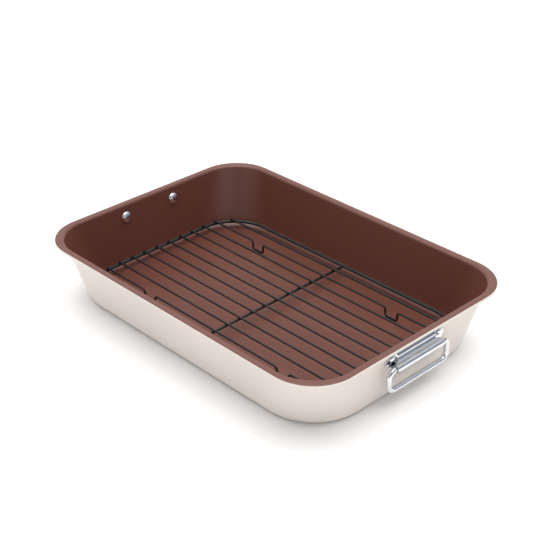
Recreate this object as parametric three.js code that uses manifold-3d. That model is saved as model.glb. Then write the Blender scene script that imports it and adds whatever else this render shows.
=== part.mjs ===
import * as THREE from 'three';
import { mergeVertices } from 'three/addons/utils/BufferGeometryUtils.js';
import Module from 'manifold-3d';

// A drawn steel roasting pan with two drop handles and a wire rack that lifts out.
// Millimetres, +Z up. X runs along the pan and the origin is the centre of its base.

const { degToRad, lerp } = THREE.MathUtils;

// Pan: one steel sheet, drawn to a tray and curled outward along its edge
const RIM_LENGTH = 400;
const RIM_WIDTH = 285;
const RIM_HEIGHT = 65;
const RIM_CORNER_RADIUS = 47;
const PAN_SHEET = 1;
const END_DRAFT = degToRad(9.2);
const SIDE_DRAFT = degToRad(11.9);
const CORNER_DRAFT = degToRad(19.7);
const FLOOR_BEND_RADIUS = 8;
const RIM_BEND_RADIUS = 1.5;
const RIM_FLANGE = 4.2;
const CORNER_FLANGE = 6.2;
const BEAD_DIAMETER = 4.2;
const BEAD_TURN = degToRad(270);

// Bracket: stamped sheet with two flat ears, a raised panel between them and a rolled knuckle below
const BRACKET_SHEET = 1;
const PANEL_LENGTH = 53;
const PANEL_RISE = 1.8;
const PANEL_TOP_BEVEL = 2.5;
const BEVEL_WIDTH = 1.7;
const EAR_WIDTH = 13.3;
const RIVET_FROM_BEVEL = 4.8;
const RIVET_BELOW_BEAD = 8.3;
const PLATE_ABOVE_RIVET = 5.2;
const PLATE_BELOW_RIVET = 4.5;
const EAR_SHOULDER = 2;
const EAR_TIP_DROP = 5.6;
const EAR_CORNER_RADIUS = 1.5;
const KNUCKLE_LENGTH = 65;
const KNUCKLE_GAP = 3;
const KNUCKLE_DROP = 10.6;
const KNUCKLE_CLEARANCE = 0.4;
const KNUCKLE_START = degToRad(195);
const KNUCKLE_TURN = degToRad(300);

// Bail: a bent wire whose two ends lie in the knuckle
const BAIL_WIRE = 5.6;
const BAIL_BEND_RADIUS = 7.4;
const BAIL_DROP = 21.5;
const BAIL_END_PLAY = 1;
const BAIL_PIN_LENGTH = 21;

// Rivet: broad domed head inside the pan, smaller domed head on the ear
const RIVET_SHANK = 4.8;
const RIVET_INNER_HEAD = 11.5;
const RIVET_INNER_HEIGHT = 3.2;
const RIVET_OUTER_HEAD = 8.5;
const RIVET_OUTER_HEIGHT = 2;
const RIVET_HOLE_CLEARANCE = 0.3;

// Rack: straight wires on a welded frame, two of them bent down into feet
const FRAME_WIRE = 3.8;
const CROSS_WIRE = 3;
const LONG_WIRE = 2.4;
const LONG_WIRE_PITCH = 17.2;
const LONG_WIRE_HEIGHT = 12.3;
const FRAME_END_MARGIN = 3;
const FRAME_SIDE_MARGIN = 3;
const FRAME_TO_WIRE_GAP = 10;
const FOOT_SPREAD = 196;
const FOOT_WIDTH = 16;
const FOOT_SHOULDER_RADIUS = 4;
const FOOT_SOLE_RADIUS = 3;

// Pieces that touch on the real pan keep this gap
const SEAT_GAP = 0.3;

// Steps that round stretches are drawn with
const CORNER_STEPS = 10;
const BEND_STEPS = 5;
const BEAD_STEPS = 12;
const KNUCKLE_STEPS = 22;
const BAIL_SIDES = 16;
const BAIL_BEND_STEPS = 8;
const FRAME_SIDES = 10;
const FRAME_BEND_STEPS = 10;
const WIRE_SIDES = 8;
const FOOT_BEND_STEPS = 4;
const RIVET_SIDES = 20;
const DOME_STEPS = 5;
const EAR_CORNER_STEPS = 4;
const HOLE_LENGTH = 20;
const SAME_POINT = 1e-6;

const QUARTER_TURN = Math.PI / 2;

const wasm = await Module();
wasm.setup();

// Boolean work on closed geometry
function toSolid(geometry) {
  const bare = geometry.clone();
  bare.deleteAttribute('normal');
  bare.deleteAttribute('uv');
  const merged = mergeVertices(bare);
  return new wasm.Manifold(new wasm.Mesh({
    numProp: 3,
    vertProperties: new Float32Array(merged.getAttribute('position').array),
    triVerts: new Uint32Array(merged.getIndex().array),
  }));
}

function toGeometry(solid) {
  const mesh = solid.getMesh();
  const geometry = new THREE.BufferGeometry();
  geometry.setAttribute('position', new THREE.Float32BufferAttribute(mesh.vertProperties, 3));
  geometry.setIndex(Array.from(mesh.triVerts));
  geometry.computeVertexNormals();
  return geometry;
}

// Skin over a row of rings with equal point counts: an open row is capped, a closed one joins its ends
function loft(rings, closed = false) {
  const count = rings[0].length;
  const index = [];
  const lastBand = closed ? rings.length : rings.length - 1;
  for (let band = 0; band < lastBand; band += 1) {
    const here = band * count;
    const next = ((band + 1) % rings.length) * count;
    for (let i = 0; i < count; i += 1) {
      const j = (i + 1) % count;
      index.push(here + i, here + j, next + j);
      index.push(here + i, next + j, next + i);
    }
  }
  if (!closed) {
    const end = (rings.length - 1) * count;
    for (let i = 0; i < count / 2 - 1; i += 1) {
      const far = count - 1 - i;
      index.push(i, far - 1, i + 1);
      index.push(i, far, far - 1);
      index.push(end + i, end + i + 1, end + far - 1);
      index.push(end + i, end + far - 1, end + far);
    }
  }
  const geometry = new THREE.BufferGeometry().setFromPoints(rings.flat());
  geometry.setIndex(index);
  geometry.computeVertexNormals();
  return geometry;
}

// Round wire along points that lie in one plane; each ring halves the bend at its point
function wireAlong(points, planeNormal, diameter, sides, closed = false) {
  const rings = points.map((point, i) => {
    const before = points[i - 1] ?? (closed ? points.at(-1) : null);
    const after = points[i + 1] ?? (closed ? points[0] : null);
    const arriving = new THREE.Vector3().subVectors(point, before ?? point);
    const leaving = new THREE.Vector3().subVectors(after ?? point, point);
    const along = arriving.normalize().add(leaving.normalize()).normalize();
    const across = new THREE.Vector3().crossVectors(planeNormal, along);
    const mitre = before && after ? 1 / along.dot(leaving) : 1;
    const ring = [];
    for (let side = 0; side < sides; side += 1) {
      const angle = ((side + 0.5) / sides) * 2 * Math.PI;
      const outward = across.clone().multiplyScalar(Math.cos(angle) * mitre);
      outward.addScaledVector(planeNormal, Math.sin(angle));
      ring.push(point.clone().addScaledVector(outward, diameter / 2));
    }
    return ring;
  });
  return loft(rings, closed);
}

// Points along a flat path, with the given steps on each quarter turn and none twice
function pathPoints(path, quarterSteps) {
  const points = path.getPoints(quarterSteps / 2);
  return points.filter((point, i) => i === 0 || point.distanceTo(points[i - 1]) > SAME_POINT);
}

// Flat closed outline of a bent sheet, given the line along its middle
function sheetOutline(middle, thickness) {
  const left = [];
  const right = [];
  middle.forEach((point, i) => {
    const before = middle[i - 1] ?? point;
    const after = middle[i + 1] ?? point;
    const arriving = new THREE.Vector2().subVectors(point, before).normalize();
    const leaving = new THREE.Vector2().subVectors(after, point).normalize();
    const along = arriving.clone().add(leaving).normalize();
    const isBend = i > 0 && i < middle.length - 1;
    const reach = (thickness / 2) * (isBend ? 1 / along.dot(leaving) : 1);
    left.push(new THREE.Vector2(point.x - along.y * reach, point.y + along.x * reach));
    right.push(new THREE.Vector2(point.x + along.y * reach, point.y - along.x * reach));
  });
  return right.concat(left.reverse());
}

// Pan sheet section along its middle: offset from the pan's centre, height and heading.
// It runs out over the floor, up the wall, out along the flange and round the bead.
const wallRise = RIM_HEIGHT - PAN_SHEET;
const beadRadius = (BEAD_DIAMETER - PAN_SHEET) / 2;

function panSection(draft, flange, rimReach) {
  const wallAngle = QUARTER_TURN - draft;
  const bendRise = (FLOOR_BEND_RADIUS + RIM_BEND_RADIUS) * (1 - Math.cos(wallAngle));
  const wallFlat = (wallRise - bendRise) / Math.sin(wallAngle);
  const section = [];
  const pen = { offset: 0, height: PAN_SHEET / 2, heading: 0 };
  const mark = () => section.push({ ...pen });
  const flat = (length) => {
    pen.offset += length * Math.cos(pen.heading);
    pen.height += length * Math.sin(pen.heading);
    mark();
  };
  const bend = (radius, turn, steps) => {
    const chord = 2 * radius * Math.sin(Math.abs(turn) / steps / 2);
    for (let step = 0; step < steps; step += 1) {
      pen.heading += turn / steps / 2;
      pen.offset += chord * Math.cos(pen.heading);
      pen.height += chord * Math.sin(pen.heading);
      pen.heading += turn / steps / 2;
      mark();
    }
  };
  mark();
  bend(FLOOR_BEND_RADIUS, wallAngle, BEND_STEPS);
  flat(wallFlat);
  bend(RIM_BEND_RADIUS, -wallAngle, BEND_STEPS);
  flat(flange);
  const beadReach = pen.offset + beadRadius + PAN_SHEET / 2;
  bend(beadRadius, -BEAD_TURN, BEAD_STEPS);
  return section.map((point) => ({ ...point, offset: point.offset + rimReach - beadReach }));
}

// Sections through an end, a side and the middle of a corner, where the wall leans out the most
const cornerCut = (radius) => radius * (Math.SQRT2 - 1);
const rimDiagonal = (RIM_LENGTH + RIM_WIDTH) / 2 * Math.SQRT1_2 - cornerCut(RIM_CORNER_RADIUS);
const endSection = panSection(END_DRAFT, RIM_FLANGE, RIM_LENGTH / 2);
const sideSection = panSection(SIDE_DRAFT, RIM_FLANGE, RIM_WIDTH / 2);
const cornerSection = panSection(CORNER_DRAFT, CORNER_FLANGE, rimDiagonal);
const wallTopStep = BEND_STEPS + 1;
const floorHalfLength = endSection[0].offset;
const floorHalfWidth = sideSection[0].offset;

// Plan corner radius at a step, which brings the rounded corner to the corner section
function cornerRadius(step) {
  const squareCorner = (endSection[step].offset + sideSection[step].offset) * Math.SQRT1_2;
  return (squareCorner - cornerSection[step].offset) / cornerCut(1);
}

// One level of the pan: a rounded rectangle on the outside (+1) or inside (-1) face of the sheet
function panRing(step, face) {
  const end = endSection[step];
  const side = sideSection[step];
  const corner = cornerSection[step];
  const radius = cornerRadius(step);
  const half = (face * PAN_SHEET) / 2;
  const ring = [];
  [[1, 1], [-1, 1], [-1, -1], [1, -1]].forEach(([signX, signY], quadrant) => {
    for (let k = 0; k <= CORNER_STEPS; k += 1) {
      const share = (quadrant % 2 ? CORNER_STEPS - k : k) / CORNER_STEPS;
      const angle = share * QUARTER_TURN;
      const cornerShare = Math.sin(2 * angle) ** 2;
      const between = (key) => lerp(lerp(end[key], side[key], share), corner[key], cornerShare);
      const heading = between('heading');
      const reach = radius + half * Math.sin(heading);
      const height = between('height') - half * Math.cos(heading);
      const x = end.offset - radius + reach * Math.cos(angle);
      const y = side.offset - radius + reach * Math.sin(angle);
      ring.push(new THREE.Vector3(signX * x, signY * y, height));
    }
  });
  return ring;
}

// Where a handle sits: a frame on the end wall, x out of the wall, z up along it
const rivetHeight = RIM_HEIGHT - BEAD_DIAMETER - RIVET_BELOW_BEAD;
const wallTop = endSection[wallTopStep];
const wallFaceTop = wallTop.offset + (PAN_SHEET / 2) * Math.cos(END_DRAFT);
const wallFaceTopHeight = wallTop.height - (PAN_SHEET / 2) * Math.sin(END_DRAFT);
const wallFaceAtRivet = wallFaceTop - (wallFaceTopHeight - rivetHeight) * Math.tan(END_DRAFT);

const earMiddle = SEAT_GAP + BRACKET_SHEET / 2;
const panelHalf = PANEL_LENGTH / 2;
const earInner = panelHalf + BEVEL_WIDTH;
const earOuter = earInner + EAR_WIDTH;
const rivetSpot = earInner + RIVET_FROM_BEVEL;
const knuckleHalf = KNUCKLE_LENGTH / 2;
const knuckleBore = BAIL_WIRE / 2 + KNUCKLE_CLEARANCE;
const knuckleOut = KNUCKLE_GAP + BRACKET_SHEET + knuckleBore;
const rivetHoleRadius = RIVET_SHANK / 2 + RIVET_HOLE_CLEARANCE;

// Bail axis seen from the pan's own frame
const hingeReach = wallFaceAtRivet + knuckleOut * Math.cos(END_DRAFT) - KNUCKLE_DROP * Math.sin(END_DRAFT);
const hingeHeight = rivetHeight - knuckleOut * Math.sin(END_DRAFT) - KNUCKLE_DROP * Math.cos(END_DRAFT);

// Rivet hole through the wall or an ear, in the handle's frame
function rivetHole(spot) {
  const hole = new THREE.CylinderGeometry(rivetHoleRadius, rivetHoleRadius, HOLE_LENGTH, RIVET_SIDES);
  hole.rotateZ(QUARTER_TURN);
  hole.translate(0, spot, 0);
  return hole;
}

// Moves geometry from the handle's frame to the pan's, at the +X end (0) or the -X end (half a turn)
function toEnd(geometry, turn) {
  geometry.rotateY(END_DRAFT);
  geometry.translate(wallFaceAtRivet, 0, rivetHeight);
  geometry.rotateZ(turn);
  return geometry;
}

function makePan() {
  const steps = endSection.map((point, step) => step);
  const outside = steps.map((step) => panRing(step, 1));
  const inside = steps.map((step) => panRing(step, -1)).reverse();
  let shell = toSolid(loft(outside.concat(inside)));
  [0, Math.PI].forEach((turn) => {
    [-rivetSpot, rivetSpot].forEach((spot) => {
      shell = shell.subtract(toSolid(toEnd(rivetHole(spot), turn)));
    });
  });
  return toGeometry(shell);
}

// Edge of the +y ear and the plate above it, from the ear's foot to the plate's top
function bracketEdge() {
  const tip = PLATE_ABOVE_RIVET - EAR_TIP_DROP;
  const tipReach = earOuter - EAR_CORNER_RADIUS;
  const shoulderReach = rivetSpot + EAR_SHOULDER;
  const bevelReach = lerp(shoulderReach, tipReach, PANEL_TOP_BEVEL / EAR_TIP_DROP);
  const edge = new THREE.Path();
  edge.moveTo(earOuter, -PLATE_BELOW_RIVET);
  edge.lineTo(earOuter, tip - EAR_CORNER_RADIUS);
  edge.quadraticCurveTo(earOuter, tip, tipReach, tip);
  edge.lineTo(bevelReach, PLATE_ABOVE_RIVET - PANEL_TOP_BEVEL);
  edge.lineTo(shoulderReach, PLATE_ABOVE_RIVET);
  return edge.getPoints(EAR_CORNER_STEPS);
}

// Row across the plate at one level: ear, bevel, panel, bevel and ear. The panel slopes in at its top.
function plateRow(reach, level) {
  const slope = Math.min(1, (PLATE_ABOVE_RIVET - level) / PANEL_TOP_BEVEL);
  const panelMiddle = earMiddle + slope * PANEL_RISE;
  const row = sheetOutline([
    new THREE.Vector2(earMiddle, -reach),
    new THREE.Vector2(earMiddle, -earInner),
    new THREE.Vector2(panelMiddle, -panelHalf),
    new THREE.Vector2(panelMiddle, panelHalf),
    new THREE.Vector2(earMiddle, earInner),
    new THREE.Vector2(earMiddle, reach),
  ], BRACKET_SHEET);
  return row.map((point) => new THREE.Vector3(point.x, point.y, level));
}

// Row across the knuckle, whose sheet runs down behind the wire, under it and back over it
function knuckleRow(angle) {
  const spots = [0, 1, 2].map((bevels) => knuckleHalf - bevels * BEVEL_WIDTH);
  const acrossRow = spots.map((spot) => -spot).concat(spots.toReversed());
  const rowAt = (radius) => acrossRow.map((spot) => new THREE.Vector3(
    knuckleOut + radius * Math.cos(angle),
    spot,
    radius * Math.sin(angle) - KNUCKLE_DROP,
  ));
  return rowAt(knuckleBore).concat(rowAt(knuckleBore + BRACKET_SHEET).reverse());
}

function makeBracket() {
  const rows = [];
  for (let step = KNUCKLE_STEPS; step >= 0; step -= 1) {
    rows.push(knuckleRow(KNUCKLE_START + (step / KNUCKLE_STEPS) * KNUCKLE_TURN));
  }
  bracketEdge().forEach((point) => rows.push(plateRow(point.x, point.y)));
  let solid = toSolid(loft(rows));
  [-rivetSpot, rivetSpot].forEach((spot) => {
    solid = solid.subtract(toSolid(rivetHole(spot)));
  });
  return toGeometry(solid);
}

// Bail in its own frame: the hinge line is the y axis and the loop hangs below it
function makeBail() {
  const bendSpot = knuckleHalf + BAIL_END_PLAY;
  const pinEnd = knuckleHalf - BAIL_PIN_LENGTH;
  const lowBend = BAIL_BEND_RADIUS - BAIL_DROP;
  const line = new THREE.Path();
  line.moveTo(pinEnd, 0);
  line.lineTo(bendSpot, 0);
  line.absarc(bendSpot, -BAIL_BEND_RADIUS, BAIL_BEND_RADIUS, QUARTER_TURN, 0, true);
  line.absarc(bendSpot, lowBend, BAIL_BEND_RADIUS, 0, -QUARTER_TURN, true);
  line.absarc(-bendSpot, lowBend, BAIL_BEND_RADIUS, -QUARTER_TURN, -Math.PI, true);
  line.absarc(-bendSpot, -BAIL_BEND_RADIUS, BAIL_BEND_RADIUS, Math.PI, QUARTER_TURN, true);
  line.lineTo(-pinEnd, 0);
  const points = pathPoints(line, BAIL_BEND_STEPS).map((point) => new THREE.Vector3(0, point.x, point.y));
  return wireAlong(points, new THREE.Vector3(1, 0, 0), BAIL_WIRE, BAIL_SIDES);
}

// Rivet in the handle's frame, at the middle of the wall's outside face
function makeRivet() {
  const innerSeat = -PAN_SHEET - SEAT_GAP;
  const outerSeat = SEAT_GAP + BRACKET_SHEET + SEAT_GAP;
  const inner = [];
  const outer = [];
  for (let step = 0; step <= DOME_STEPS; step += 1) {
    const angle = (step / DOME_STEPS) * QUARTER_TURN;
    const innerReach = (RIVET_INNER_HEAD / 2) * Math.sin(angle);
    const outerReach = (RIVET_OUTER_HEAD / 2) * Math.sin(angle);
    inner.push(new THREE.Vector2(innerReach, innerSeat - RIVET_INNER_HEIGHT * Math.cos(angle)));
    outer.push(new THREE.Vector2(outerReach, outerSeat + RIVET_OUTER_HEIGHT * Math.cos(angle)));
  }
  const shank = [innerSeat, outerSeat].map((seat) => new THREE.Vector2(RIVET_SHANK / 2, seat));
  const rivet = new THREE.LatheGeometry([...inner, ...shank, ...outer.reverse()], RIVET_SIDES);
  rivet.rotateZ(-QUARTER_TURN);
  return rivet;
}

// Rack levels and frame size: the feet stand on the floor and the long wires lie on the frame
const footHeight = PAN_SHEET + SEAT_GAP + LONG_WIRE / 2;
const wireSeat = LONG_WIRE_HEIGHT - LONG_WIRE / 2 - SEAT_GAP;
const frameHeight = wireSeat - FRAME_WIRE / 2;
const crossHeight = wireSeat - CROSS_WIRE / 2;
const frameHalfLength = floorHalfLength - FRAME_END_MARGIN;
const frameHalfWidth = floorHalfWidth - FRAME_SIDE_MARGIN;
const frameCornerRadius = cornerRadius(0) - Math.min(FRAME_END_MARGIN, FRAME_SIDE_MARGIN);

function makeFrame() {
  const cornerX = frameHalfLength - frameCornerRadius;
  const cornerY = frameHalfWidth - frameCornerRadius;
  const line = new THREE.Path();
  line.absarc(cornerX, cornerY, frameCornerRadius, 0, QUARTER_TURN);
  line.absarc(-cornerX, cornerY, frameCornerRadius, QUARTER_TURN, Math.PI);
  line.absarc(-cornerX, -cornerY, frameCornerRadius, Math.PI, Math.PI + QUARTER_TURN);
  line.absarc(cornerX, -cornerY, frameCornerRadius, -QUARTER_TURN, 0);
  const points = pathPoints(line, FRAME_BEND_STEPS).map((point) => new THREE.Vector3(point.x, point.y, 0));
  return wireAlong(points, new THREE.Vector3(0, 0, 1), FRAME_WIRE, FRAME_SIDES, true);
}

// Half length of a long wire: it ends over the middle of the frame, also round the corners
function wireHalfLength(spot) {
  const past = Math.max(0, Math.abs(spot) - (frameHalfWidth - frameCornerRadius));
  const cornerReach = Math.sqrt(frameCornerRadius ** 2 - past ** 2);
  return frameHalfLength - frameCornerRadius + cornerReach;
}

function makeLongWire(spot) {
  const half = wireHalfLength(spot);
  const points = [new THREE.Vector3(-half, 0, 0), new THREE.Vector3(half, 0, 0)];
  return wireAlong(points, new THREE.Vector3(0, 1, 0), LONG_WIRE, WIRE_SIDES);
}

// Long wire with two U feet: round shoulders, straight legs and a round sole
function makeFootWire(spot) {
  const half = wireHalfLength(spot);
  const drop = footHeight - LONG_WIRE_HEIGHT;
  const line = new THREE.Path();
  line.moveTo(-half, 0);
  [-FOOT_SPREAD / 2, FOOT_SPREAD / 2].forEach((middle) => {
    const left = middle - FOOT_WIDTH / 2;
    const right = middle + FOOT_WIDTH / 2;
    const shoulder = -FOOT_SHOULDER_RADIUS;
    const sole = drop + FOOT_SOLE_RADIUS;
    line.lineTo(left + shoulder, 0);
    line.absarc(left + shoulder, shoulder, FOOT_SHOULDER_RADIUS, QUARTER_TURN, 0, true);
    line.absarc(left + FOOT_SOLE_RADIUS, sole, FOOT_SOLE_RADIUS, Math.PI, Math.PI + QUARTER_TURN);
    line.absarc(right - FOOT_SOLE_RADIUS, sole, FOOT_SOLE_RADIUS, -QUARTER_TURN, 0);
    line.absarc(right - shoulder, shoulder, FOOT_SHOULDER_RADIUS, Math.PI, QUARTER_TURN, true);
  });
  line.lineTo(half, 0);
  const points = pathPoints(line, FOOT_BEND_STEPS).map((point) => new THREE.Vector3(point.x, 0, point.y));
  return wireAlong(points, new THREE.Vector3(0, 1, 0), LONG_WIRE, WIRE_SIDES);
}

function makeCrossWire() {
  const half = frameHalfWidth - FRAME_WIRE / 2 - SEAT_GAP;
  const points = [new THREE.Vector3(0, -half, 0), new THREE.Vector3(0, half, 0)];
  return wireAlong(points, new THREE.Vector3(0, 0, 1), CROSS_WIRE, WIRE_SIDES);
}

// Finishes
const panEnamel = () => new THREE.MeshStandardMaterial({ color: 0xe3dad3, roughness: 0.35, metalness: 0 });
const chrome = () => new THREE.MeshStandardMaterial({ color: 0xd4d8de, roughness: 0.12, metalness: 1 });
const rivetSteel = () => new THREE.MeshStandardMaterial({ color: 0xc9cacc, roughness: 0.25, metalness: 1 });
const blackCoat = () => new THREE.MeshStandardMaterial({ color: 0x1d1d1f, roughness: 0.4, metalness: 0 });

// Assembly
const roaster = new THREE.Group();

function place(parent, name, geometry, material, x = 0, y = 0, z = 0) {
  const mesh = new THREE.Mesh(geometry, material);
  mesh.name = name;
  mesh.position.set(x, y, z);
  parent.add(mesh);
}

place(roaster, 'pan_body', makePan(), panEnamel());

[['right', 0], ['left', Math.PI]].forEach(([side, turn]) => {
  const end = new THREE.Group();
  end.rotation.z = turn;
  roaster.add(end);

  const wall = new THREE.Group();
  wall.position.set(wallFaceAtRivet, 0, rivetHeight);
  wall.rotation.y = END_DRAFT;
  end.add(wall);

  place(wall, `${side}_bracket`, makeBracket(), chrome());
  place(wall, `${side}_rivet_a`, makeRivet(), rivetSteel(), 0, -rivetSpot, 0);
  place(wall, `${side}_rivet_b`, makeRivet(), rivetSteel(), 0, rivetSpot, 0);
  place(end, `${side}_bail`, makeBail(), chrome(), hingeReach, 0, hingeHeight);
});

const rack = new THREE.Group();
roaster.add(rack);
place(rack, 'rack_frame', makeFrame(), blackCoat(), 0, 0, frameHeight);
place(rack, 'rack_cross_wire', makeCrossWire(), blackCoat(), 0, 0, crossHeight);

// Long wires lie half a pitch either side of the middle, and the last but one on each side has feet
const wiresPerSide = Math.floor((frameHalfWidth - FRAME_TO_WIRE_GAP) / LONG_WIRE_PITCH + 0.5);
const footWire = wiresPerSide - 2;
[['front', -1], ['rear', 1]].forEach(([side, sign]) => {
  for (let i = 0; i < wiresPerSide; i += 1) {
    const spot = sign * (i + 0.5) * LONG_WIRE_PITCH;
    const hasFeet = i === footWire;
    const name = hasFeet ? `rack_foot_wire_${side}` : `rack_wire_${side}_${i + 1}`;
    const geometry = hasFeet ? makeFootWire(spot) : makeLongWire(spot);
    place(rack, name, geometry, blackCoat(), 0, spot, LONG_WIRE_HEIGHT);
  }
});

export default roaster;
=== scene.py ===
import math

import bpy
from mathutils import Matrix, Vector


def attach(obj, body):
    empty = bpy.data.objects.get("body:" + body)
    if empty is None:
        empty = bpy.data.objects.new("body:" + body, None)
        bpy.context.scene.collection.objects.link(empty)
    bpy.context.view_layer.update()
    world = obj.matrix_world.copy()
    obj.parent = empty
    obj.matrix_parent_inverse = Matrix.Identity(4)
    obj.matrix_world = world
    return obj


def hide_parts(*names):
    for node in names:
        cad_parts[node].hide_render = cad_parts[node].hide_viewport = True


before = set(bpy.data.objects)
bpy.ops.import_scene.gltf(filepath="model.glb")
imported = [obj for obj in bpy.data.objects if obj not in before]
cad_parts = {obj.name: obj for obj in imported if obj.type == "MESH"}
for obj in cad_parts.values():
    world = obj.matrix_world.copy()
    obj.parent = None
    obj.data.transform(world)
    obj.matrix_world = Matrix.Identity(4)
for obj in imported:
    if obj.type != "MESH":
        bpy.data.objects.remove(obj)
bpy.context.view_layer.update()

# Sizes in millimetres, the same as the solids'
MM = 0.001

RIM_LENGTH = 400
RIM_WIDTH = 285
RIM_HEIGHT = 65
RIM_CORNER_RADIUS = 47
PAN_SHEET = 1
END_DRAFT = math.radians(9.2)
SIDE_DRAFT = math.radians(11.9)
CORNER_DRAFT = math.radians(19.7)
FLOOR_BEND_RADIUS = 8
RIM_BEND_IN_SOLID = 1.5
RIM_FLANGE = 4.2
CORNER_FLANGE = 6.2
BEAD_DIAMETER = 4.2
BEAD_TURN = math.radians(270)

BRACKET_SHEET = 1
PANEL_LENGTH = 53
BEVEL_WIDTH = 1.7
EAR_WIDTH = 13.3
RIVET_FROM_BEVEL = 4.8
RIVET_BELOW_BEAD = 8.3
PLATE_BELOW_RIVET = 4.5
EAR_SHOULDER = 2
EAR_CORNER_RADIUS = 1.5
KNUCKLE_LENGTH = 65
KNUCKLE_GAP = 3
KNUCKLE_DROP = 10.6
KNUCKLE_CLEARANCE = 0.4
KNUCKLE_START = math.radians(195)

BAIL_WIRE = 5.6
BAIL_BEND_RADIUS = 7.4
BAIL_DROP = 21.5
BAIL_END_PLAY = 1
BAIL_PIN_LENGTH = 21

RIVET_SHANK = 4.8
RIVET_INNER_HEIGHT = 3.2
RIVET_OUTER_HEIGHT = 2

FRAME_WIRE = 3.8
CROSS_WIRE = 3
LONG_WIRE = 2.4
LONG_WIRE_PITCH = 17.2
LONG_WIRE_HEIGHT = 12.3
FRAME_MARGIN = 3
FOOT_SPREAD = 196
FOOT_WIDTH = 16
FOOT_SHOULDER_RADIUS = 4
FOOT_SOLE_RADIUS = 3
WIRES_PER_SIDE = 6
FOOT_WIRE = 5

SEAT_GAP = 0.3

# Refitted to the photograph, so these differ from the solids'
RIM_BEND_RADIUS = 3.0
PLATE_DROP = 2.2
PLATE_ABOVE_RIVET = 3.4
EAR_TIP_DROP = 3.8
PANEL_RISE = 2.1
PANEL_TOP_BEVEL = 3.0
RIVET_INNER_HEAD = 13
RIVET_OUTER_HEAD = 6.6

QUARTER = math.pi / 2
FULL_TURN = 2 * math.pi


def lerp(a, b, share):
    return a + (b - a) * share


# Materials

MIX_SHARE = 0
MIX_COLOURS = (6, 7)
MIX_RESULT = 2


class Graph:
    """A material's node tree with short calls for the nodes used here."""

    def __init__(self, name):
        self.material = bpy.data.materials.new(name)
        self.material.use_nodes = True
        self.tree = self.material.node_tree
        self.shader = self.tree.nodes["Principled BSDF"]
        coords = self.tree.nodes.new("ShaderNodeTexCoord")
        self.place = coords.outputs["Object"]

    def link(self, source, target):
        self.tree.links.new(source, target)

    def noise(self, scale, detail, stretch=None):
        node = self.tree.nodes.new("ShaderNodeTexNoise")
        node.inputs["Scale"].default_value = scale
        node.inputs["Detail"].default_value = detail
        source = self.place
        if stretch:
            mapping = self.tree.nodes.new("ShaderNodeMapping")
            mapping.inputs["Scale"].default_value = stretch
            self.link(source, mapping.inputs["Vector"])
            source = mapping.outputs["Vector"]
        self.link(source, node.inputs["Vector"])
        return node.outputs["Fac"]

    def spread(self, source, low=0, high=1, start=0.35, end=0.65):
        node = self.tree.nodes.new("ShaderNodeMapRange")
        node.inputs["From Min"].default_value = start
        node.inputs["From Max"].default_value = end
        node.inputs["To Min"].default_value = low
        node.inputs["To Max"].default_value = high
        self.link(source, node.inputs["Value"])
        return node.outputs["Result"]

    def mix(self, share, *colours):
        node = self.tree.nodes.new("ShaderNodeMix")
        node.data_type = "RGBA"
        self.link(share, node.inputs[MIX_SHARE])
        for number, colour in zip(MIX_COLOURS, colours):
            if isinstance(colour, tuple):
                node.inputs[number].default_value = (*colour, 1)
            else:
                self.link(colour, node.inputs[number])
        return node.outputs[MIX_RESULT]

    def bump(self, height, strength, distance, after=None):
        node = self.tree.nodes.new("ShaderNodeBump")
        node.inputs["Strength"].default_value = strength
        node.inputs["Distance"].default_value = distance
        self.link(height, node.inputs["Height"])
        if after:
            self.link(after, node.inputs["Normal"])
        return node.outputs["Normal"]

    def finish(self, colour, roughness, normal, **values):
        self.link(colour, self.shader.inputs["Base Color"])
        self.link(roughness, self.shader.inputs["Roughness"])
        self.link(normal, self.shader.inputs["Normal"])
        for key, value in values.items():
            self.shader.inputs[key].default_value = value
        return self.material


CREAM_TINTS = ((0.735, 0.672, 0.618), (0.775, 0.715, 0.662))
CREAM_SPECK = (0.68, 0.615, 0.555)
BROWN_TINTS = ((0.146, 0.050, 0.0342), (0.154, 0.053, 0.037))
BROWN_FLECK = (0.16, 0.062, 0.046)
CHROME_TINTS = ((0.68, 0.692, 0.712), (0.725, 0.737, 0.757))
STEEL_TINTS = ((0.70, 0.70, 0.71), (0.80, 0.80, 0.81))
BLACK_TINTS = ((0.010, 0.010, 0.010), (0.018, 0.017, 0.017))
BLACK_SPECK = (0.04, 0.04, 0.04)


def cream_coat():
    graph = Graph("cream_coat")
    cloud = graph.spread(graph.noise(scale=8, detail=2), start=0.25, end=0.75)
    speck = graph.spread(graph.noise(scale=1400, detail=2), start=0.55, end=0.75)
    colour = graph.mix(speck, graph.mix(cloud, *CREAM_TINTS), CREAM_SPECK)
    peel = graph.bump(graph.noise(scale=520, detail=2), strength=0.05, distance=0.0006)
    wave = graph.bump(graph.noise(scale=30, detail=2), strength=0.05, distance=0.002, after=peel)
    roughness = graph.spread(graph.noise(scale=60, detail=3), low=0.30, high=0.40)
    return graph.finish(colour, roughness, wave, IOR=1.5)


def brown_coat(name, ior):
    graph = Graph(name)
    cloud = graph.spread(graph.noise(scale=7, detail=1), start=0.25, end=0.75)
    fleck = graph.spread(graph.noise(scale=2200, detail=1), start=0.60, end=0.72)
    colour = graph.mix(fleck, graph.mix(cloud, *BROWN_TINTS), BROWN_FLECK)
    peel = graph.bump(graph.noise(scale=900, detail=2), strength=0.05, distance=0.0004)
    roughness = graph.spread(
        graph.noise(scale=16, detail=1), low=0.27, high=0.31, start=0.25, end=0.75)
    return graph.finish(colour, roughness, peel, IOR=ior)


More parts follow.
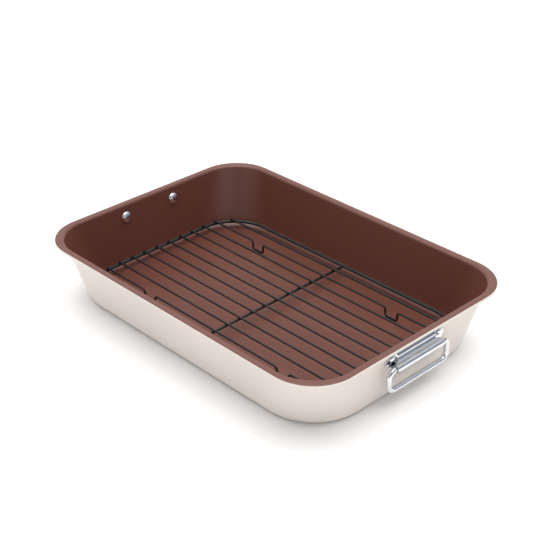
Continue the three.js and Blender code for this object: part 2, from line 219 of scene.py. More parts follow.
def chrome():
    graph = Graph("handle_chrome")
    cloud = graph.spread(graph.noise(scale=70, detail=3))
    colour = graph.mix(cloud, *CHROME_TINTS)
    streaks = graph.noise(scale=160, detail=3, stretch=(1, 0.25, 1))
    grain = graph.bump(streaks, strength=0.006, distance=0.0004)
    roughness = graph.spread(graph.noise(scale=240, detail=4), low=0.04, high=0.09)
    return graph.finish(colour, roughness, grain, Metallic=1)


def rivet_steel():
    graph = Graph("rivet_steel")
    cloud = graph.spread(graph.noise(scale=160, detail=3))
    colour = graph.mix(cloud, *STEEL_TINTS)
    grain = graph.bump(graph.noise(scale=700, detail=2), strength=0.05, distance=0.0003)
    roughness = graph.spread(graph.noise(scale=400, detail=3), low=0.12, high=0.20)
    return graph.finish(colour, roughness, grain, Metallic=1)


def black_coat():
    graph = Graph("rack_coat")
    cloud = graph.spread(graph.noise(scale=60, detail=4))
    speck = graph.spread(graph.noise(scale=2600, detail=1), start=0.62, end=0.75)
    colour = graph.mix(speck, graph.mix(cloud, *BLACK_TINTS), BLACK_SPECK)
    peel = graph.bump(graph.noise(scale=1100, detail=2), strength=0.12, distance=0.0003)
    roughness = graph.spread(graph.noise(scale=200, detail=3), low=0.32, high=0.46)
    return graph.finish(colour, roughness, peel, IOR=1.42)


CREAM = cream_coat()
BROWN = brown_coat("brown_coat", ior=1.5)
# The floor gets a copy of the brown coat with a lower IOR, so it reflects less and reads darker than
# the walls: painted shade, not a different coat
SHADED_FLOOR_BROWN = brown_coat("brown_floor_coat_painted_shade", ior=1.33)
CHROME = chrome()
STEEL = rivet_steel()
BLACK = black_coat()

# Meshes: an edge that turns by more than the sharp angle is shaded as an edge

WIRE_SHARP = math.radians(40)
STAMPED_SHARP = math.radians(50)
PAN_SHARP = math.radians(60)


def add_piece(name, points, faces, materials, body, nodes, sharp=WIRE_SHARP):
    mesh = bpy.data.meshes.new(name)
    mesh.from_pydata([point * MM for point in points], [], faces)
    for material in materials:
        mesh.materials.append(material)
    mesh.shade_smooth()
    mesh.set_sharp_from_angle(angle=sharp)
    piece = bpy.data.objects.new(name, mesh)
    bpy.context.scene.collection.objects.link(piece)
    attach(piece, body)
    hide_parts(*nodes)
    return piece


def skin(rings, closed=False):
    """Faces over a row of rings with equal point counts; an open row is capped."""
    count = len(rings[0])
    faces = []
    for band in range(len(rings) if closed else len(rings) - 1):
        here = band * count
        after = (band + 1) % len(rings) * count
        for i in range(count):
            j = (i + 1) % count
            faces.append((here + i, here + j, after + j, after + i))
    if not closed:
        last = (len(rings) - 1) * count
        faces.append(tuple(reversed(range(count))))
        faces.append(tuple(range(last, last + count)))
    return [point for ring in rings for point in ring], faces


# Pan: the sheet's section runs over the floor bend, up the wall, along the flange and round the bead

BEND_STEPS = 10
BEAD_STEP = math.radians(7.5)
BROWN_TURN = math.radians(45)
SUPPORT = 0.8
CORNER_STEPS = 24
OUT, HEIGHT, HEADING = range(3)


def pan_section(draft, flange, rim_reach):
    """Places on the sheet's middle, each with how far out, how high and in what direction it runs."""
    wall_angle = QUARTER - draft
    rise = (FLOOR_BEND_RADIUS + RIM_BEND_RADIUS) * (1 - math.cos(wall_angle))
    wall = (RIM_HEIGHT - PAN_SHEET - rise) / math.sin(wall_angle)
    bead_radius = (BEAD_DIAMETER - PAN_SHEET) / 2
    section = []
    pen = [0.0, PAN_SHEET / 2, 0.0]

    def draw(length):
        pen[OUT] += length * math.cos(pen[HEADING])
        pen[HEIGHT] += length * math.sin(pen[HEADING])

    def supported(length):
        for part in (SUPPORT, length - 2 * SUPPORT, SUPPORT):
            draw(part)
            section.append(tuple(pen))

    def bend(radius, turn, steps):
        half = turn / steps / 2
        for _ in range(steps):
            pen[HEADING] += half
            draw(2 * radius * math.sin(abs(half)))
            pen[HEADING] += half
            section.append(tuple(pen))

    section.append(tuple(pen))
    bend(FLOOR_BEND_RADIUS, wall_angle, BEND_STEPS)
    supported(wall)
    top = len(section) - 1
    bend(RIM_BEND_RADIUS, -wall_angle, BEND_STEPS)
    supported(flange - (RIM_BEND_RADIUS - RIM_BEND_IN_SOLID) * math.tan(wall_angle / 2))
    bead_start = len(section) - 1
    shift = rim_reach - (pen[OUT] + bead_radius + PAN_SHEET / 2)
    bend(bead_radius, -BEAD_TURN, round(BEAD_TURN / BEAD_STEP))
    return [(out + shift, height, heading) for out, height, heading in section], top, bead_start


CORNER_CUT = math.sqrt(2) - 1
DIAGONAL = math.sqrt(0.5)
RIM_DIAGONAL = (RIM_LENGTH + RIM_WIDTH) / 2 * DIAGONAL - CORNER_CUT * RIM_CORNER_RADIUS

END_SECTION, WALL_TOP, BEAD_START = pan_section(END_DRAFT, RIM_FLANGE, RIM_LENGTH / 2)
SIDE_SECTION = pan_section(SIDE_DRAFT, RIM_FLANGE, RIM_WIDTH / 2)[0]
CORNER_SECTION = pan_section(CORNER_DRAFT, CORNER_FLANGE, RIM_DIAGONAL)[0]


def corner_radius(step):
    square_corner = (END_SECTION[step][OUT] + SIDE_SECTION[step][OUT]) * DIAGONAL
    return (square_corner - CORNER_SECTION[step][OUT]) / CORNER_CUT


def pan_ring(step, face):
    end = END_SECTION[step]
    side = SIDE_SECTION[step]
    corner = CORNER_SECTION[step]
    radius = corner_radius(step)
    half = face * PAN_SHEET / 2
    ring = []
    for quadrant, (sign_x, sign_y) in enumerate(((1, 1), (-1, 1), (-1, -1), (1, -1))):
        for step_round in range(CORNER_STEPS + 1):
            share = (CORNER_STEPS - step_round if quadrant % 2 else step_round) / CORNER_STEPS
            angle = share * QUARTER
            corner_share = math.sin(2 * angle) ** 2
            height, heading = (
                lerp(lerp(end[k], side[k], share), corner[k], corner_share)
                for k in (HEIGHT, HEADING))
            reach = radius + half * math.sin(heading)
            height -= half * math.cos(heading)
            x = end[OUT] - radius + reach * math.cos(angle)
            y = side[OUT] - radius + reach * math.sin(angle)
            ring.append(Vector((sign_x * x, sign_y * y, height)))
    return ring


def make_pan():
    steps = range(len(END_SECTION))
    rings = [pan_ring(step, 1) for step in steps]
    rings += [pan_ring(step, -1) for step in reversed(steps)]
    points, faces = skin(rings)
    coats = (CREAM, BROWN, SHADED_FLOOR_BROWN)
    pan = add_piece(
        "pan_shell", points, faces, coats, "pan", ("pan_body",), PAN_SHARP)
    brown_end = BEAD_START + round(BROWN_TURN / BEAD_STEP)
    first_brown = len(rings) - 1 - brown_end
    for polygon in pan.data.polygons:
        band = min(polygon.vertices) // len(rings[0])
        if band >= first_brown:
            polygon.material_index = coats.index(BROWN)
    # The floor cap takes the less reflective copy of the brown coat: painted shade on the floor
    pan.data.polygons[-1].material_index = coats.index(SHADED_FLOOR_BROWN)


make_pan()

# Handles: a frame on the end wall, x out of the wall, z up along it

RIVET_HEIGHT = RIM_HEIGHT - BEAD_DIAMETER - RIVET_BELOW_BEAD
wall_top = END_SECTION[WALL_TOP]
face_top = wall_top[OUT] + PAN_SHEET / 2 * math.cos(END_DRAFT)
face_top_height = wall_top[HEIGHT] - PAN_SHEET / 2 * math.sin(END_DRAFT)
WALL_FACE = face_top - (face_top_height - RIVET_HEIGHT) * math.tan(END_DRAFT)

EAR_MIDDLE = SEAT_GAP + BRACKET_SHEET / 2
EAR_INNER = PANEL_LENGTH / 2 + BEVEL_WIDTH
EAR_OUTER = EAR_INNER + EAR_WIDTH
RIVET_SPOT = EAR_INNER + RIVET_FROM_BEVEL
KNUCKLE_HALF = KNUCKLE_LENGTH / 2
KNUCKLE_BORE = BAIL_WIRE / 2 + KNUCKLE_CLEARANCE
KNUCKLE_MIDDLE = KNUCKLE_BORE + BRACKET_SHEET / 2
KNUCKLE_OUT = KNUCKLE_GAP + BRACKET_SHEET + KNUCKLE_BORE

TO_WALL = Matrix.Translation((WALL_FACE, 0, RIVET_HEIGHT)) @ Matrix.Rotation(END_DRAFT, 4, "Y")
HINGE = TO_WALL @ Vector((KNUCKLE_OUT, 0, -KNUCKLE_DROP))
TURNS = {"right": Matrix.Identity(4), "left": Matrix.Rotation(math.pi, 4, "Z")}

# Bracket: rows of the sheet's middle from the top edge to the lip, levels measured from the rivets

RAMP_ROUND = 0.2
TOP_ROUND = 0.42
PLATE_LEVELS = (
    3.4, 3.28, 2.8, 2.3, 1.8, 1.6, 1.4, 1.2, 1.0, 0.8, 0.6, 0.4, 0.2, -0.1,
    -0.4, -0.45, -0.6, -0.85, -1.25, -1.9, -2.9, -3.8)
PANEL_COLUMNS = (0, 8, 16, 22, 25.5, 26.3, 26.6, 26.9, 27.2, 27.5, 27.8, 28.1, 28.4)
EAR_COLUMNS = (0.12, 0.3, 0.5, 0.7, 0.85, 1)
STRIP_STEPS = 14
ROLL_STEPS = 44
ROLL_INSET = 0.01
LIP_FILLET = 2.0
LIP_GAP = 0.15
LIP_LEVEL = -4.4
LIP_HALF = 26.5
LIP_STEPS = 12
EDGE_WIDTH = 0.22
EDGE_SEGMENTS = 2
EDGE_ANGLE = math.radians(50)


def soft_ramp(value):
    """Straight rise from 0 to 1 whose two ends are rounded off."""
    value = min(1, max(0, value))
    slope = 1 / (1 - RAMP_ROUND)
    if value < RAMP_ROUND:
        return slope * value * value / (2 * RAMP_ROUND)
    if value > 1 - RAMP_ROUND:
        return 1 - slope * (1 - value) ** 2 / (2 * RAMP_ROUND)
    return slope * (value - RAMP_ROUND / 2)


def top_ramp(value):
    """Straight rise from 0 to 1 with a crease at the start and a rounded end."""
    value = min(1, max(0, value))
    slope = 1 / (1 - TOP_ROUND / 2)
    if value > 1 - TOP_ROUND:
        return 1 - slope * (1 - value) ** 2 / (2 * TOP_ROUND)
    return slope * value


def ear_reach(level):
    """How far the plate's edge lies from the middle at a level above the rivets."""
    tip = PLATE_ABOVE_RIVET - EAR_TIP_DROP
    shoulder = RIVET_SPOT + EAR_SHOULDER
    inner = EAR_OUTER - EAR_CORNER_RADIUS
    if level > tip:
        return lerp(inner, shoulder, (level - tip) / (PLATE_ABOVE_RIVET - tip))
    below = tip - level
    if below < EAR_CORNER_RADIUS:
        share = math.sqrt(below / EAR_CORNER_RADIUS)
        return inner + EAR_CORNER_RADIUS * (2 * share - share * share)
    return EAR_OUTER


def columns(reach):
    side = list(PANEL_COLUMNS)
    side += [lerp(PANEL_COLUMNS[-1], reach, share) for share in EAR_COLUMNS]
    return [-y for y in reversed(side[1:])] + side


def plate_x(y, level):
    raised = top_ramp((PLATE_ABOVE_RIVET - level) / PANEL_TOP_BEVEL)
    inside = soft_ramp((EAR_INNER - abs(y)) / BEVEL_WIDTH)
    return EAR_MIDDLE + PANEL_RISE * raised * inside


def at_knuckle(y):
    """Where a column of the plate comes to lie along the knuckle."""
    last = PANEL_COLUMNS[-1]
    narrow = KNUCKLE_HALF - BEVEL_WIDTH
    if abs(y) <= last:
        spot = abs(y) / last * narrow
    else:
        spot = lerp(narrow, KNUCKLE_HALF, (abs(y) - last) / (EAR_OUTER - last))
    return math.copysign(spot, y)


def plate_rows():
    rows = []
    for level in PLATE_LEVELS:
        row = [Vector((plate_x(y, level), y, level - PLATE_DROP)) for y in columns(ear_reach(level))]
        rows.append(row)
    return rows


def strip_rows():
    """From the plate's lower edge in to the start of the roll."""
    foot_x = KNUCKLE_OUT + KNUCKLE_MIDDLE * math.cos(KNUCKLE_START)
    foot_z = KNUCKLE_MIDDLE * math.sin(KNUCKLE_START) - KNUCKLE_DROP
    rows = []
    for step in range(STRIP_STEPS):
        share = step / STRIP_STEPS
        z = lerp(-PLATE_BELOW_RIVET - PLATE_DROP, foot_z, share)
        row = []
        for y in columns(EAR_OUTER):
            x = lerp(plate_x(y, -PLATE_BELOW_RIVET), foot_x, share)
            row.append(Vector((x, lerp(y, at_knuckle(y), share), z)))
        rows.append(row)
    return rows


def roll_rows():
    """Round the knuckle, then through a fillet to the lip that lies before the panel."""
    spots = [at_knuckle(y) for y in columns(EAR_OUTER)]
    radius = KNUCKLE_MIDDLE - ROLL_INSET
    lip_x = EAR_MIDDLE + PANEL_RISE + BRACKET_SHEET + LIP_GAP
    fillet_x = lip_x + LIP_FILLET
    fillet_rise = math.sqrt((radius + LIP_FILLET) ** 2 - (fillet_x - KNUCKLE_OUT) ** 2)
    fillet_z = fillet_rise - KNUCKLE_DROP
    leave = math.atan2(fillet_rise, fillet_x - KNUCKLE_OUT)
    rows = []
    for step in range(ROLL_STEPS + 1):
        angle = lerp(KNUCKLE_START, leave + FULL_TURN, step / ROLL_STEPS)
        x = KNUCKLE_OUT + radius * math.cos(angle)
        z = radius * math.sin(angle) - KNUCKLE_DROP
        rows.append([Vector((x, y, z)) for y in spots])
    lip = []
    for step in range(1, LIP_STEPS + 1):
        angle = lerp(leave - math.pi, -math.pi, step / LIP_STEPS)
        lip.append((fillet_x + LIP_FILLET * math.cos(angle), fillet_z + LIP_FILLET * math.sin(angle)))
    lip.append((lip_x, LIP_LEVEL))
    for step, (x, z) in enumerate(lip, 1):
        narrowed = lerp(1, LIP_HALF / KNUCKLE_HALF, min(1, step / LIP_STEPS))
        rows.append([Vector((x, y * narrowed, z)) for y in spots])
    return rows


def make_bracket(side):
    rows = plate_rows() + strip_rows() + roll_rows()
    count = len(rows[0])
    place = TURNS[side] @ TO_WALL
    points = [place @ point for row in rows for point in row]
    faces = []
    for r in range(len(rows) - 1):
        for c in range(count - 1):
            here = r * count + c
            faces.append((here, here + count, here + count + 1, here + 1))
    plate = add_piece(
        f"{side}_bracket_plate", points, faces, (CHROME,),
        "pan", (f"{side}_bracket",), STAMPED_SHARP)
    sheet = plate.modifiers.new("sheet", "SOLIDIFY")
    sheet.thickness = BRACKET_SHEET * MM
    sheet.offset = 0
    sheet.use_even_offset = True
    edge = plate.modifiers.new("edge", "BEVEL")
    edge.width = EDGE_WIDTH * MM
    edge.segments = EDGE_SEGMENTS
    edge.limit_method = "ANGLE"
    edge.angle_limit = EDGE_ANGLE


# Wires

SAME_POINT = 1e-5
END_DEPTH = 0.55
END_ANGLES = tuple(math.radians(angle) for angle in (78, 60, 40, 20, 0))
END_CLEARANCE = 0.1


def arc(centre_a, centre_b, radius, start, end, steps):
    angles = [lerp(start, end, k / steps) for k in range(steps + 1)]
    return [(centre_a + radius * math.cos(a), centre_b + radius * math.sin(a)) for a in angles]


def clean(points):
    kept = [points[0]]
    for point in points[1:]:
        if (point - kept[-1]).length > SAME_POINT:
            kept.append(point)
    return kept


def round_ends(points, radius):
    """Points of an open wire with the share of its radius at each, small at the ends."""
    first = points[0]
    last = points[-1]
    lead = (points[1] - first).normalized()
    trail = (points[-2] - last).normalized()
    depth = END_DEPTH * radius
    clear = depth + END_CLEARANCE
    spots = [(first + lead * depth * (1 - math.sin(a)), math.cos(a)) for a in END_ANGLES]
    for point in points[1:-1]:
        if (point - first).length > clear and (point - last).length > clear:
            spots.append((point, 1.0))
    for a in reversed(END_ANGLES):
        spots.append((last + trail * depth * (1 - math.sin(a)), math.cos(a)))
    return spots


def sweep(points, plane_normal, diameter, sides, closed=False, welds=(), weld_depth=0.0):
    """Round wire along points in one plane. Open ends are rounded; at welds it bulges downward."""
    radius = diameter / 2
    spots = [(point, 1.0) for point in points] if closed else round_ends(points, radius)
    total = len(spots)
    rings = []
    for i, (point, scale) in enumerate(spots):
        arriving = leaving = None
        if i or closed:
            arriving = (point - spots[i - 1][0]).normalized()
        if i < total - 1 or closed:
            leaving = (spots[(i + 1) % total][0] - point).normalized()
        along = ((arriving or leaving) + (leaving or arriving)).normalized()
        across = plane_normal.cross(along)
        mitre = 1 / along.dot(leaving) if arriving and leaving else 1
        sag = 0.0
        for weld, half in welds:
            away = (point - weld).length / half
            if away < 1:
                sag = max(sag, (1 - away * away) ** 2)
        ring = []
        for k in range(sides):
            angle = (k + 0.5) / sides * FULL_TURN
            outward = across * math.cos(angle) * mitre + plane_normal * math.sin(angle)
            spot = point + outward * radius * scale
            low = max(0.0, (point.z - spot.z) / radius)
            spot.z -= weld_depth * sag * low * low
            ring.append(spot)
        rings.append(ring)
    return skin(rings, closed)


# Bails and rivets

BAIL_STEPS = 16
BAIL_SIDES = 28
RIVET_STEPS = 10
RIVET_SIDES = 32
HEAD_EDGE = 0.3
HEAD_SEAT = 0.12


def make_bail(side):
    bend_spot = KNUCKLE_HALF + BAIL_END_PLAY
    pin_end = KNUCKLE_HALF - BAIL_PIN_LENGTH
    low = BAIL_BEND_RADIUS - BAIL_DROP
    r = BAIL_BEND_RADIUS
    line = [(pin_end, 0.0)]
    line += arc(bend_spot, -r, r, QUARTER, 0, BAIL_STEPS)
    line += arc(bend_spot, low, r, 0, -QUARTER, BAIL_STEPS)
    line += arc(-bend_spot, low, r, -QUARTER, -math.pi, BAIL_STEPS)
    line += arc(-bend_spot, -r, r, math.pi, QUARTER, BAIL_STEPS)
    line += [(-pin_end, 0.0)]
    path = clean([Vector((0, a, b)) for a, b in line])
    points, faces = sweep(path, Vector((1, 0, 0)), BAIL_WIRE, BAIL_SIDES)
    place = TURNS[side] @ Matrix.Translation(HINGE)
    add_piece(
        f"{side}_bail_wire", [place @ p for p in points], faces, (CHROME,),
        f"{side}_handle", (f"{side}_bail",))


def make_rivet(side, letter, spot):
    inner_seat = -PAN_SHEET - SEAT_GAP
    outer_seat = SEAT_GAP + BRACKET_SHEET + SEAT_GAP
    angles = [k / RIVET_STEPS * QUARTER for k in range(1, RIVET_STEPS + 1)]
    profile = []
    for angle in angles:
        reach = RIVET_INNER_HEAD / 2 * math.sin(angle)
        profile.append((reach, inner_seat - RIVET_INNER_HEIGHT * math.cos(angle)))
    profile.append((RIVET_INNER_HEAD / 2 - HEAD_EDGE, inner_seat + HEAD_SEAT))
    profile.append((RIVET_SHANK / 2, inner_seat + HEAD_SEAT))
    profile.append((RIVET_SHANK / 2, outer_seat - HEAD_SEAT))
    profile.append((RIVET_OUTER_HEAD / 2 - HEAD_EDGE, outer_seat - HEAD_SEAT))
    for angle in reversed(angles):
        reach = RIVET_OUTER_HEAD / 2 * math.sin(angle)
        profile.append((reach, outer_seat + RIVET_OUTER_HEIGHT * math.cos(angle)))
    place = TURNS[side] @ TO_WALL @ Matrix.Translation((0, spot, -PLATE_DROP))
    turns = [k / RIVET_SIDES * FULL_TURN for k in range(RIVET_SIDES)]
    rings = []
    for reach, x in profile:
        rings.append([
            place @ Vector((x, reach * math.cos(turn), reach * math.sin(turn))) for turn in turns])
    points, faces = skin(rings)
    add_piece(
        f"{side}_rivet_{letter}_steel", points, faces, (STEEL,),
        "pan", (f"{side}_rivet_{letter}",), STAMPED_SHARP)


for end in ("right", "left"):
    make_bracket(end)
    make_bail(end)
    make_rivet(end, "a", -RIVET_SPOT)
    make_rivet(end, "b", RIVET_SPOT)

# Rack

WIRE_SIDES = 18
FRAME_SIDES = 20
FRAME_STEPS = 20
FOOT_STEPS = 8
WIRE_SEAT = LONG_WIRE_HEIGHT - LONG_WIRE / 2 - SEAT_GAP
FRAME_HEIGHT = WIRE_SEAT - FRAME_WIRE / 2
CROSS_HEIGHT = WIRE_SEAT - CROSS_WIRE / 2
FRAME_HALF_LENGTH = END_SECTION[0][OUT] - FRAME_MARGIN
FRAME_HALF_WIDTH = SIDE_SECTION[0][OUT] - FRAME_MARGIN
FRAME_CORNER = corner_radius(0) - FRAME_MARGIN
FOOT_HEIGHT = PAN_SHEET + SEAT_GAP + LONG_WIRE / 2
WELD_DEPTH = 0.45
WELD_INSET = 0.2
END_WELD_HALF = 2.2
CROSS_WELD_HALF = 2.0
WELD_RINGS = (-1, -0.66, -0.33, 0, 0.33, 0.66, 1)
RING_CLEARANCE = 0.05
SAME_LEVEL = 1e-6


def wire_half(spot):
    past = max(0.0, abs(spot) - (FRAME_HALF_WIDTH - FRAME_CORNER))
    return FRAME_HALF_LENGTH - FRAME_CORNER + math.sqrt(FRAME_CORNER ** 2 - past ** 2)


def make_frame():
    x = FRAME_HALF_LENGTH - FRAME_CORNER
    y = FRAME_HALF_WIDTH - FRAME_CORNER
    line = []
    for quarter, (cx, cy) in enumerate(((x, y), (-x, y), (-x, -y), (x, -y))):
        start = quarter * QUARTER
        line += arc(cx, cy, FRAME_CORNER, start, (quarter + 1) * QUARTER, FRAME_STEPS)
    path = clean([Vector((a, b, FRAME_HEIGHT)) for a, b in line])
    points, faces = sweep(path, Vector((0, 0, 1)), FRAME_WIRE, FRAME_SIDES, True)
    add_piece("rack_frame_wire", points, faces, (BLACK,), "rack", ("rack_frame",))


def make_cross():
    half = FRAME_HALF_WIDTH - FRAME_WIRE / 2 - SEAT_GAP
    path = [Vector((0, y, CROSS_HEIGHT)) for y in (-half, 0, half)]
    points, faces = sweep(path, Vector((0, 0, 1)), CROSS_WIRE, WIRE_SIDES)
    add_piece("rack_cross_rod", points, faces, (BLACK,), "rack", ("rack_cross_wire",))


def with_weld_rings(line, welds):
    """Adds points round each weld on the straight stretches of a wire."""
    extra = []
    for weld, half in welds:
        extra += [weld.x + half * share for share in WELD_RINGS]
    result = [line[0]]
    for point in line[1:]:
        before = result[-1]
        if abs(point.z - before.z) < SAME_LEVEL:
            low = before.x + RING_CLEARANCE
            high = point.x - RING_CLEARANCE
            inside = sorted(x for x in extra if low < x < high)
            result += [Vector((x, point.y, point.z)) for x in inside]
        result.append(point)
    return result


def foot_line(middle):
    """Down into one U-shaped foot and up again, heights measured from the wire."""
    left = middle - FOOT_WIDTH / 2
    right = middle + FOOT_WIDTH / 2
    shoulder = FOOT_SHOULDER_RADIUS
    sole = FOOT_SOLE_RADIUS
    sole_height = FOOT_HEIGHT - LONG_WIRE_HEIGHT + sole
    line = arc(left - shoulder, -shoulder, shoulder, QUARTER, 0, FOOT_STEPS)
    line += arc(left + sole, sole_height, sole, math.pi, math.pi + QUARTER, FOOT_STEPS)
    line += arc(right - sole, sole_height, sole, -QUARTER, 0, FOOT_STEPS)
    line += arc(right + shoulder, -shoulder, shoulder, math.pi, QUARTER, FOOT_STEPS)
    return line


def make_long_wire(name, node, spot, has_feet):
    half = wire_half(spot)
    line = [(-half, 0.0)]
    if has_feet:
        line += foot_line(-FOOT_SPREAD / 2) + foot_line(FOOT_SPREAD / 2)
    line.append((half, 0.0))
    path = clean([Vector((a, spot, LONG_WIRE_HEIGHT + b)) for a, b in line])
    end_weld = half - WELD_INSET
    welds = [
        (Vector((-end_weld, spot, LONG_WIRE_HEIGHT)), END_WELD_HALF),
        (Vector((0, spot, LONG_WIRE_HEIGHT)), CROSS_WELD_HALF),
        (Vector((end_weld, spot, LONG_WIRE_HEIGHT)), END_WELD_HALF),
    ]
    path = with_weld_rings(path, welds)
    points, faces = sweep(path, Vector((0, 1, 0)), LONG_WIRE, WIRE_SIDES, False, welds, WELD_DEPTH)
    add_piece(name, points, faces, (BLACK,), "rack", (node,))


make_frame()
make_cross()
for row_name, sign in (("front", -1), ("rear", 1)):
    for number in range(1, WIRES_PER_SIDE + 1):
        feet = number == FOOT_WIRE
        node_name = f"rack_foot_wire_{row_name}" if feet else f"rack_wire_{row_name}_{number}"
        make_long_wire(f"{node_name}_rod", node_name, sign * (number - 0.5) * LONG_WIRE_PITCH, feet)

# Stage: white floor that keeps the shadow, white world, soft light and cards that only reflections show

FLOOR_HALF = 6.0
FLOOR_LEVEL = -0.0004
FLOOR_TINTS = ((0.925, 0.925, 0.93), (0.935, 0.935, 0.94))
FLOOR_ROUGHNESS = 0.9
AMBIENT = 0.45
SKY_SEEN = 1.0


def white_floor():
    graph = Graph("studio_floor")
    graph.shader.inputs["Roughness"].default_value = FLOOR_ROUGHNESS
    graph.shader.inputs["Specular IOR Level"].default_value = 0.0
    cloud = graph.spread(graph.noise(scale=3, detail=2))
    graph.link(graph.mix(cloud, *FLOOR_TINTS), graph.shader.inputs["Base Color"])
    return graph.material


floor_mesh = bpy.data.meshes.new("studio_floor")
floor_mesh.from_pydata(
    [(x * FLOOR_HALF, y * FLOOR_HALF, FLOOR_LEVEL) for x, y in ((-1, -1), (1, -1), (1, 1), (-1, 1))],
    [], [(0, 1, 2, 3)])
floor_mesh.materials.append(white_floor())
floor = bpy.data.objects.new("studio_floor", floor_mesh)
bpy.context.scene.collection.objects.link(floor)

# The world lights things at the ambient level, but is seen and mirrored at full white
world = bpy.data.worlds.new("studio")
bpy.context.scene.world = world
world.use_nodes = True
world_tree = world.node_tree
sky = world_tree.nodes["Background"]
sky.inputs["Color"].default_value = (1, 1, 1, 1)
rays = world_tree.nodes.new("ShaderNodeLightPath")
shown = rays.outputs["Is Camera Ray"]
for ray in ("Is Glossy Ray", "Is Transmission Ray"):
    either = world_tree.nodes.new("ShaderNodeMath")
    either.operation = "MAXIMUM"
    world_tree.links.new(shown, either.inputs[0])
    world_tree.links.new(rays.outputs[ray], either.inputs[1])
    shown = either.outputs[0]
sky_level = world_tree.nodes.new("ShaderNodeMapRange")
sky_level.inputs["To Min"].default_value = AMBIENT
sky_level.inputs["To Max"].default_value = SKY_SEEN
world_tree.links.new(shown, sky_level.inputs["Value"])
world_tree.links.new(sky_level.outputs["Result"], sky.inputs["Strength"])


def add_sun(name, energy, spread, towards, colour):
    light = bpy.data.lights.new(name, "SUN")
    light.energy = energy
    light.angle = math.radians(spread)
    light.color = colour
    lamp = bpy.data.objects.new(name, light)
    lamp.rotation_euler = Vector(towards).to_track_quat("Z", "Y").to_euler()
    bpy.context.scene.collection.objects.link(lamp)


add_sun("key", energy=3.4, spread=88, towards=(-0.19, 0.26, 0.946), colour=(1, 0.99, 0.975))
add_sun("fill", energy=0.35, spread=60, towards=(0.6, -0.68, 0.4), colour=(1, 1, 1))

# Cards: heights and turns are angles in degrees seen from the middle of the stage

CARD_STEPS = 24
CARD_RISES = 12
CARD_TOP = (0.95, 0.97, 1.0)
LOW_WHITE = (0.95, 0.96, 0.98)
CAMERA_BLACK = (0.07, 0.07, 0.075)
SIDE_GREY = (0.50, 0.51, 0.53)


def dome_part(name, radius, heights, turns):
    points = []
    faces = []
    for k in range(CARD_STEPS + 1):
        turn = math.radians(lerp(*turns, k / CARD_STEPS))
        for r in range(CARD_RISES + 1):
            tilt = math.radians(lerp(*heights, r / CARD_RISES))
            points.append(Vector((
                radius * math.cos(tilt) * math.cos(turn),
                radius * math.cos(tilt) * math.sin(turn),
                radius * math.sin(tilt))))
    for k in range(CARD_STEPS):
        for r in range(CARD_RISES):
            here = k * (CARD_RISES + 1) + r
            faces.append((here, here + 1, here + CARD_RISES + 2, here + CARD_RISES + 1))
    mesh = bpy.data.meshes.new(name)
    mesh.from_pydata(points, [], faces)
    return mesh


def card_glow(name, radius, shades):
    """Light of its own, shaded by height."""
    material = bpy.data.materials.new(name)
    material.use_nodes = True
    tree = material.node_tree
    tree.nodes.remove(tree.nodes["Principled BSDF"])
    coords = tree.nodes.new("ShaderNodeTexCoord")
    split = tree.nodes.new("ShaderNodeSeparateXYZ")
    height = tree.nodes.new("ShaderNodeMapRange")
    height.inputs["From Max"].default_value = radius
    ramp = tree.nodes.new("ShaderNodeValToRGB")
    glow = tree.nodes.new("ShaderNodeEmission")
    stops = ramp.color_ramp.elements
    while len(stops) < len(shades):
        stops.new(1.0)
    for stop, (tilt, colour) in zip(stops, shades):
        stop.position = math.sin(math.radians(tilt))
        stop.color = (*colour, 1)
    tree.links.new(coords.outputs["Object"], split.inputs[0])
    tree.links.new(split.outputs["Z"], height.inputs["Value"])
    tree.links.new(height.outputs["Result"], ramp.inputs["Fac"])
    tree.links.new(ramp.outputs["Color"], glow.inputs["Color"])
    tree.links.new(glow.outputs[0], tree.nodes["Material Output"].inputs["Surface"])
    return material


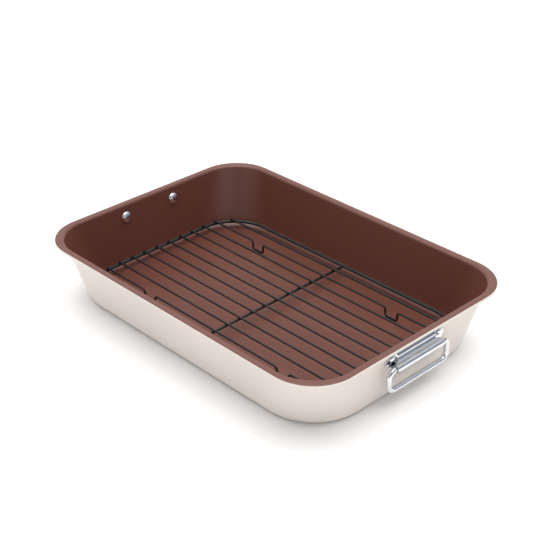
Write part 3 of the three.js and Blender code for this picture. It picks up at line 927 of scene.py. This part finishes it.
def gloss_card(name, radius, heights, turns, shades):
    """Part of a wide dome round the stage that only reflections show."""
    mesh = dome_part(name, radius, heights, turns)
    mesh.materials.append(card_glow(name, radius, shades))
    card = bpy.data.objects.new(name, mesh)
    card.visible_camera = False
    card.visible_diffuse = False
    card.visible_shadow = False
    card.visible_transmission = False
    bpy.context.scene.collection.objects.link(card)


gloss_card("grey_card", radius=5.0, heights=(1, 60), turns=(-50, 100), shades=(
    (1, (0.16, 0.16, 0.19)),
    (6, (0.17, 0.175, 0.21)),
    (14, (0.28, 0.305, 0.36)),
    (25, (0.37, 0.41, 0.485)),
    (41, (0.68, 0.75, 0.82)),
    (60, CARD_TOP),
))
gloss_card("far_card", radius=5.0, heights=(3, 62), turns=(100, 200), shades=(
    (3, (0.80, 0.81, 0.83)),
    (46, (0.82, 0.83, 0.85)),
    (62, CARD_TOP),
))
gloss_card("camera_card", radius=4.8, heights=(14, 56), turns=(-66, -24), shades=(
    (14, (0.40, 0.41, 0.43)),
    (19, CAMERA_BLACK),
    (44, CAMERA_BLACK),
    (56, CARD_TOP),
))
gloss_card("low_card", radius=4.6, heights=(1, 14), turns=(-44, 4), shades=(
    (1, LOW_WHITE),
    (14, LOW_WHITE),
))
gloss_card("side_card", radius=5.0, heights=(2, 40), turns=(-130, -44), shades=(
    (2, SIDE_GREY),
    (25, SIDE_GREY),
    (40, CARD_TOP),
))

# Camera, fitted to the rim and the base in the photograph

CAMERA_TARGET = Vector((-11.09, 11.65, 40.0)) * MM
CAMERA_DISTANCE = 1247.67 * MM
CAMERA_AZIMUTH = math.radians(45.89)
CAMERA_ELEVATION = math.radians(30.06)
SENSOR_WIDTH = 36
LENS = 81.08

camera = bpy.data.cameras.new("camera")
camera.sensor_width = SENSOR_WIDTH
camera.lens = LENS
camera_object = bpy.data.objects.new("camera", camera)
back = Vector((
    math.cos(CAMERA_ELEVATION) * math.sin(CAMERA_AZIMUTH),
    -math.cos(CAMERA_ELEVATION) * math.cos(CAMERA_AZIMUTH),
    math.sin(CAMERA_ELEVATION)))
camera_object.location = CAMERA_TARGET + back * CAMERA_DISTANCE
camera_object.rotation_euler = back.to_track_quat("Z", "Y").to_euler()
bpy.context.scene.collection.objects.link(camera_object)
bpy.context.scene.camera = camera_object

bpy.context.scene.view_settings.view_transform = "Standard"
